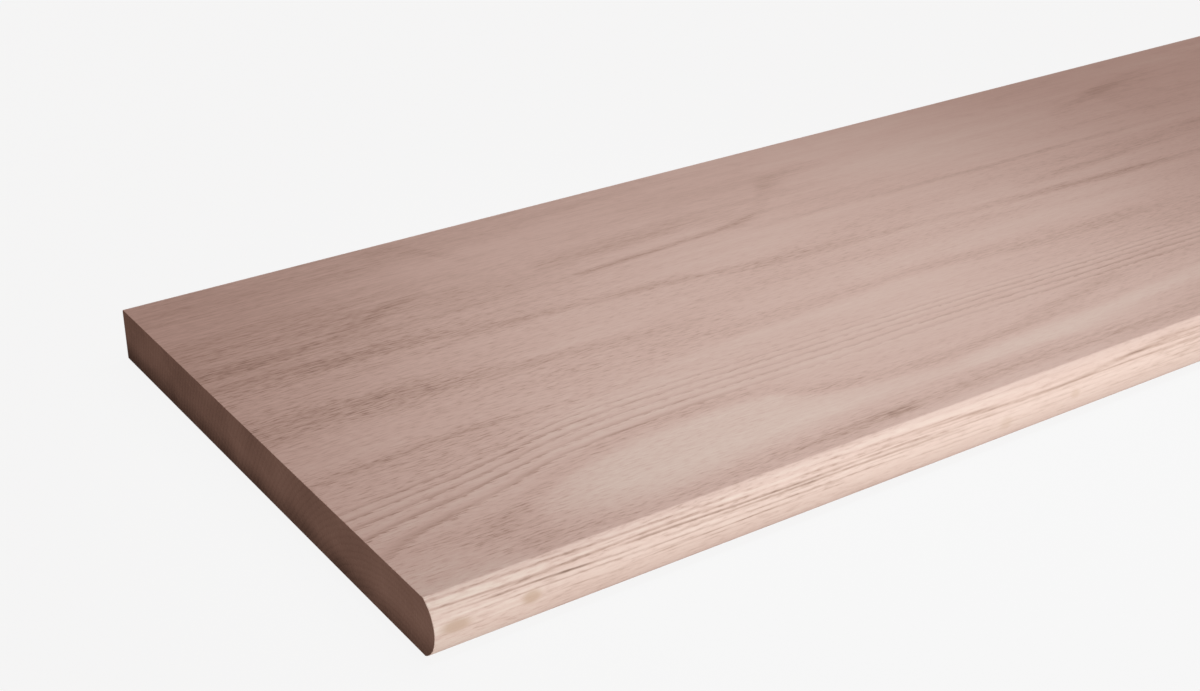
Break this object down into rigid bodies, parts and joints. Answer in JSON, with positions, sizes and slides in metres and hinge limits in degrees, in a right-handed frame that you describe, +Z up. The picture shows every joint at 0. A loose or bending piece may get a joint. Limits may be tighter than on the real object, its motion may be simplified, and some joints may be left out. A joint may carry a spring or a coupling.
{
  "type": "stair tread",
  "caption": "Flat solid oak stair tread board with a rounded nosing along its front edge, a square back edge and square-cut ends, for the step of a timber stair.",
  "frame": {"origin": "middle of the tread's length and depth, on the underside", "axes": "+X along the tread, -Y towards the nosing, +Y towards the riser behind, +Z up through the walking face"},
  "size_m": [0.9144, 0.2921, 0.0254],
  "materials": {
    "red_oak": "sanded, unfinished"
  },
  "bodies": {
    "root": {"tread_board": "red_oak"}
  },
  "joints": []
}
